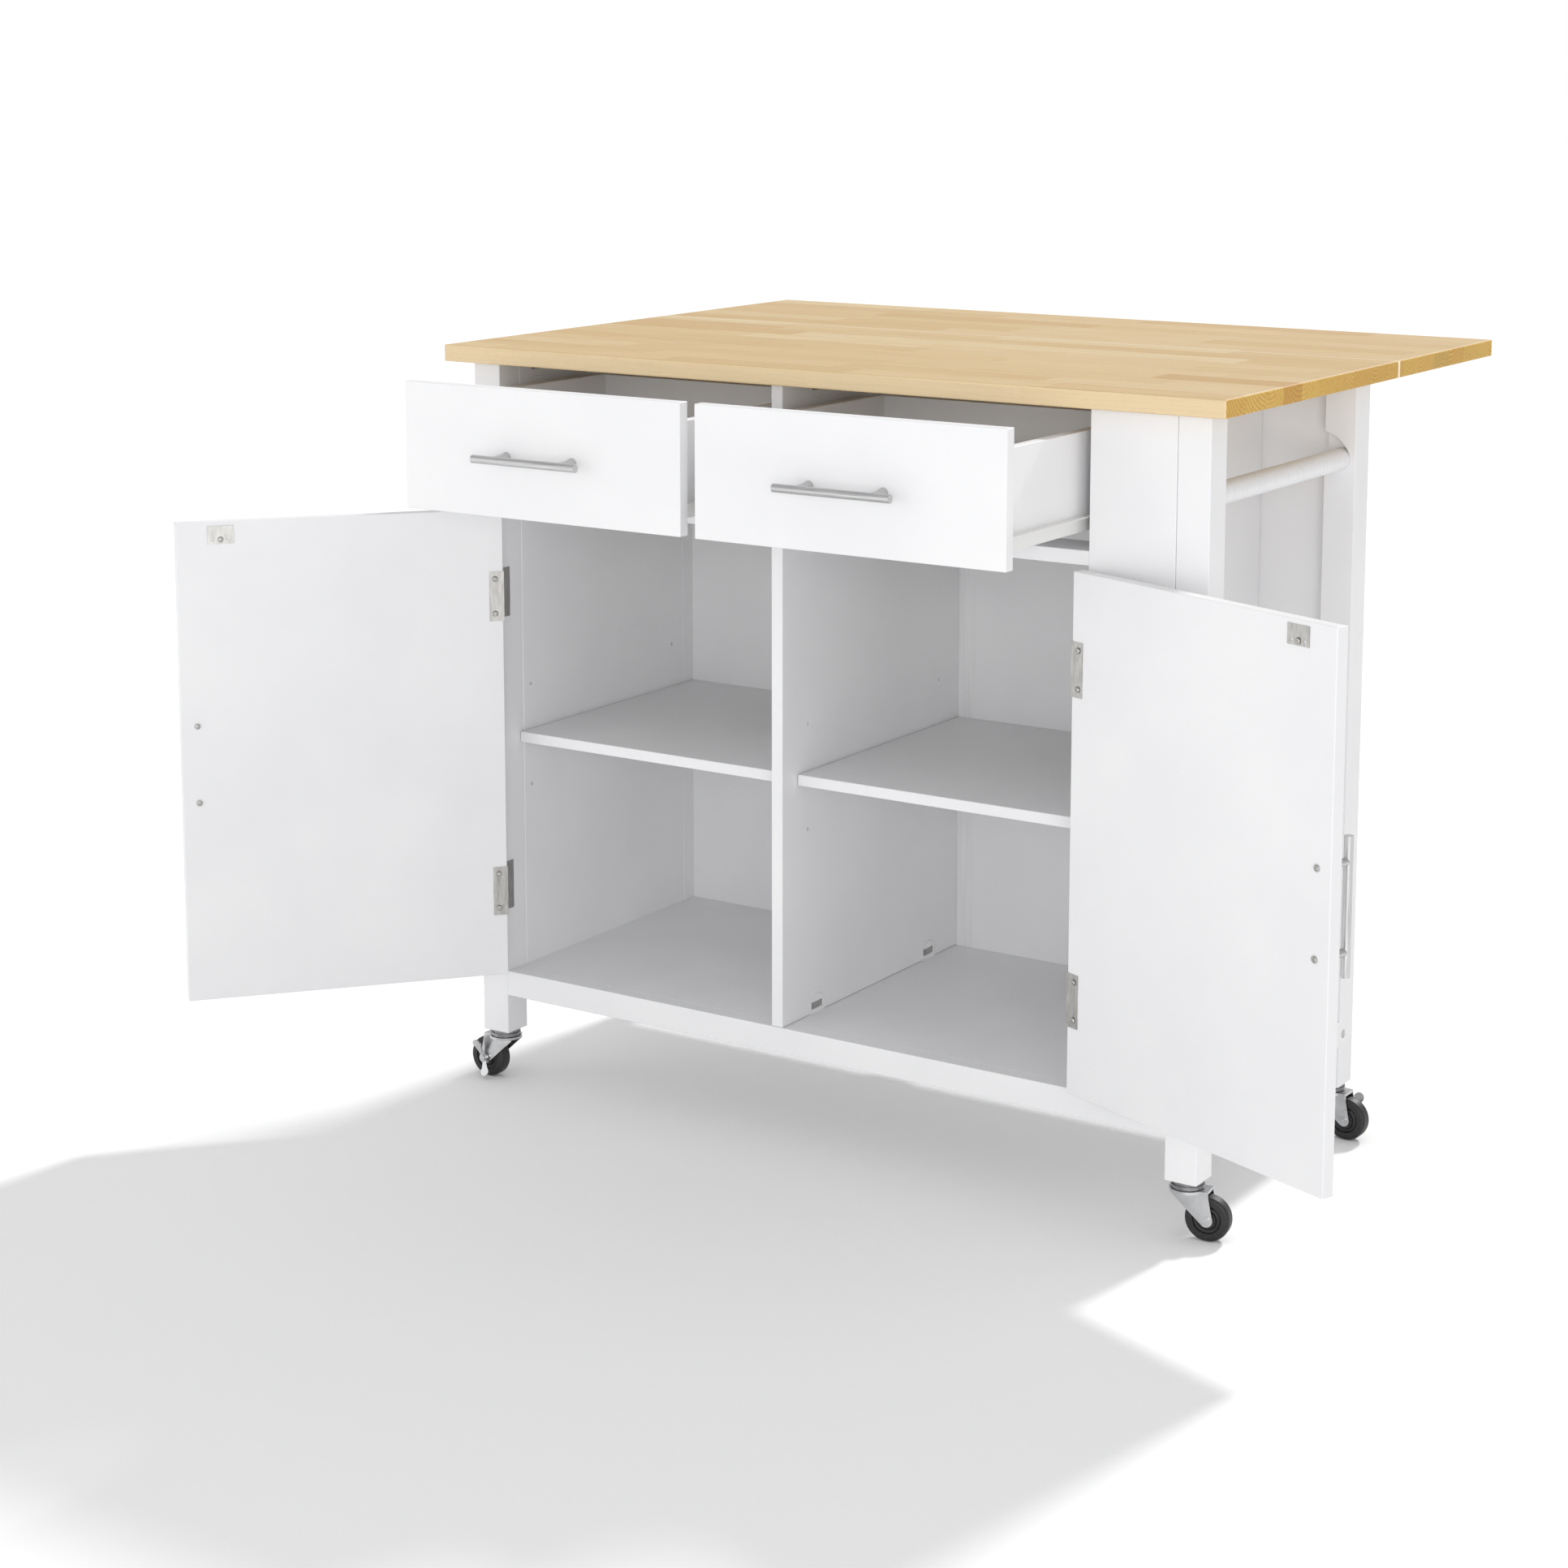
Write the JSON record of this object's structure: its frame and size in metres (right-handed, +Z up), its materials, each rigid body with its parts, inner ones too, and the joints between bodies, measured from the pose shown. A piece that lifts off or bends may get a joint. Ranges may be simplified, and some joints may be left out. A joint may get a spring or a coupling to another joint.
{
  "type": "drop leaf kitchen island",
  "caption": "Rolling kitchen island with a butcher block top, folding rear leaf, drawers over doored bays and an open end niche with a towel bar.",
  "frame": {"origin": "on the floor, midway between the four caster swivels", "axes": "+X to the right along the worktop's width, +Y to the rear and the drop leaf, +Z up"},
  "size_m": [1.4074, 1.0312, 0.914],
  "materials": {
    "white_paint": "satin white paint",
    "butcher_block": "clear satin lacquer over glued staves",
    "grained_paint": "white paint with the wood's grain showing through",
    "runner_white": "gloss white powder coat",
    "brushed_steel": "brushed along its length",
    "nickel": "satin nickel plate",
    "zinc": "bright zinc plate",
    "black_rubber": "smooth solid rubber",
    "catch_grey": "matt",
    "dark_steel": "dark",
    "white_plastic": "satin moulded plastic"
  },
  "bodies": {
    "cabinet": {"worktop": "butcher_block", "post_front_left": "white_paint", "post_front_right": "white_paint", "post_rear_left": "white_paint", "post_rear_right": "white_paint", "side_panel": "white_paint", "partition": "white_paint", "front_filler": "white_paint", "cabinet_floor": "white_paint", "aprons": "white_paint", "divider": "white_paint", "rear_stile": "grained_paint", "back_panels": "white_paint", "rear_rails": "white_paint", "drawer_rails": "white_paint", "shelves": "white_paint", "shelf_pins": "nickel", "towel_bar": "grained_paint", "frame_fixings": "nickel", "fixing_plugs": "white_plastic", "door_catches": "catch_grey", "door_hinge_plates": "nickel", "cabinet_runners": "runner_white", "cabinet_tracks": "runner_white", "caster_stems": "dark_steel", "bracket_legs": "zinc"},
    "leaf": {"leaf": "butcher_block", "bracket_arms": "zinc"},
    "left_door": {"door_left": "white_paint", "door_left_handle": "brushed_steel", "door_left_hardware": "nickel"},
    "right_door": {"door_right": "white_paint", "door_right_handle": "brushed_steel", "door_right_hardware": "nickel"},
    "left_drawer": {"drawer_left_front": "white_paint", "drawer_left_box": "white_paint", "drawer_left_bottom": "white_paint", "drawer_left_handle": "brushed_steel", "drawer_left_runners": "runner_white", "drawer_left_flanges": "runner_white"},
    "right_drawer": {"drawer_right_front": "white_paint", "drawer_right_box": "white_paint", "drawer_right_bottom": "white_paint", "drawer_right_handle": "brushed_steel", "drawer_right_runners": "runner_white", "drawer_right_flanges": "runner_white"},
    "left_front_rollers": {"cabinet_rollers_left": "runner_white"},
    "left_rear_rollers": {"drawer_rollers_left": "runner_white"},
    "right_front_rollers": {"cabinet_rollers_right": "runner_white"},
    "right_rear_rollers": {"drawer_rollers_right": "runner_white"},
    "front_left_caster": {"fork_front_left": "zinc"},
    "front_left_wheel": {"wheel_front_left": "black_rubber"},
    "front_right_caster": {"fork_front_right": "zinc"},
    "front_right_wheel": {"wheel_front_right": "black_rubber"},
    "rear_left_caster": {"fork_rear_left": "zinc"},
    "rear_left_wheel": {"wheel_rear_left": "black_rubber"},
    "rear_right_caster": {"fork_rear_right": "zinc"},
    "rear_right_wheel": {"wheel_rear_right": "black_rubber"},
    "front_left_brake": {"brake_front_left": "zinc"},
    "rear_right_brake": {"brake_rear_right": "zinc"}
  },
  "joints": [
    {"name": "leaf_fold", "type": "hinge", "parent": "cabinet", "child": "leaf", "pos_m": [0, 0.22325, 0.887], "axis": [1, 0, 0], "range_deg": [-90, 0]},
    {"name": "left_door_swing", "type": "hinge", "parent": "cabinet", "child": "left_door", "pos_m": [-0.446, -0.21, 0.4345], "axis": [0, 0, 1], "range_deg": [-40, 130]},
    {"name": "right_door_swing", "type": "hinge", "parent": "cabinet", "child": "right_door", "pos_m": [0.344, -0.21, 0.4345], "axis": [0, 0, 1], "range_deg": [-159, 11]},
    {"name": "left_drawer_slide", "type": "slide", "parent": "cabinet", "child": "left_drawer", "axis": [0, -1, 0], "range_m": [-0.175, 0.06]},
    {"name": "right_drawer_slide", "type": "slide", "parent": "cabinet", "child": "right_drawer", "axis": [0, -1, 0], "range_m": [-0.175, 0.06]},
    {"name": "left_front_rollers_spin", "type": "hinge", "parent": "cabinet", "child": "left_front_rollers", "pos_m": [-0.25275, -0.1775, 0.7657], "axis": [1, 0, 0], "continuous": true},
    {"name": "left_rear_rollers_spin", "type": "hinge", "parent": "left_drawer", "child": "left_rear_rollers", "pos_m": [-0.25275, -0.0305, 0.7657], "axis": [1, 0, 0], "continuous": true},
    {"name": "right_front_rollers_spin", "type": "hinge", "parent": "cabinet", "child": "right_front_rollers", "pos_m": [0.15075, -0.1775, 0.7657], "axis": [1, 0, 0], "continuous": true},
    {"name": "right_rear_rollers_spin", "type": "hinge", "parent": "right_drawer", "child": "right_rear_rollers", "pos_m": [0.15075, -0.0305, 0.7657], "axis": [1, 0, 0], "continuous": true},
    {"name": "front_left_caster_swivel", "type": "hinge", "parent": "cabinet", "child": "front_left_caster", "pos_m": [-0.466, -0.1875, 0.06], "axis": [0, 0, 1], "continuous": true},
    {"name": "front_left_wheel_spin", "type": "hinge", "parent": "front_left_caster", "child": "front_left_wheel", "pos_m": [-0.49, -0.18708, 0.025], "axis": [-0.0175, -0.9998, 0], "continuous": true},
    {"name": "front_left_brake_tilt", "type": "hinge", "parent": "front_left_caster", "child": "front_left_brake", "pos_m": [-0.49, -0.18708, 0.025], "axis": [-0.0175, -0.9998, 0], "range_deg": [-20, 20]},
    {"name": "front_right_caster_swivel", "type": "hinge", "parent": "cabinet", "child": "front_right_caster", "pos_m": [0.466, -0.1875, 0.06], "axis": [0, 0, 1], "continuous": true},
    {"name": "front_right_wheel_spin", "type": "hinge", "parent": "front_right_caster", "child": "front_right_wheel", "pos_m": [0.48971, -0.18375, 0.025], "axis": [-0.1564, 0.9877, 0], "continuous": true},
    {"name": "rear_left_caster_swivel", "type": "hinge", "parent": "cabinet", "child": "rear_left_caster", "pos_m": [-0.466, 0.1875, 0.06], "axis": [0, 0, 1], "continuous": true},
    {"name": "rear_left_wheel_spin", "type": "hinge", "parent": "rear_left_caster", "child": "rear_left_wheel", "pos_m": [-0.44634, 0.20127, 0.025], "axis": [-0.5736, 0.8192, 0], "continuous": true},
    {"name": "rear_right_caster_swivel", "type": "hinge", "parent": "cabinet", "child": "rear_right_caster", "pos_m": [0.466, 0.1875, 0.06], "axis": [0, 0, 1], "continuous": true},
    {"name": "rear_right_wheel_spin", "type": "hinge", "parent": "rear_right_caster", "child": "rear_right_wheel", "pos_m": [0.48999, 0.18666, 0.025], "axis": [0.0349, 0.9994, 0], "continuous": true},
    {"name": "rear_right_brake_tilt", "type": "hinge", "parent": "rear_right_caster", "child": "rear_right_brake", "pos_m": [0.48999, 0.18666, 0.025], "axis": [0.0349, 0.9994, 0], "range_deg": [-20, 20]}
  ]
}
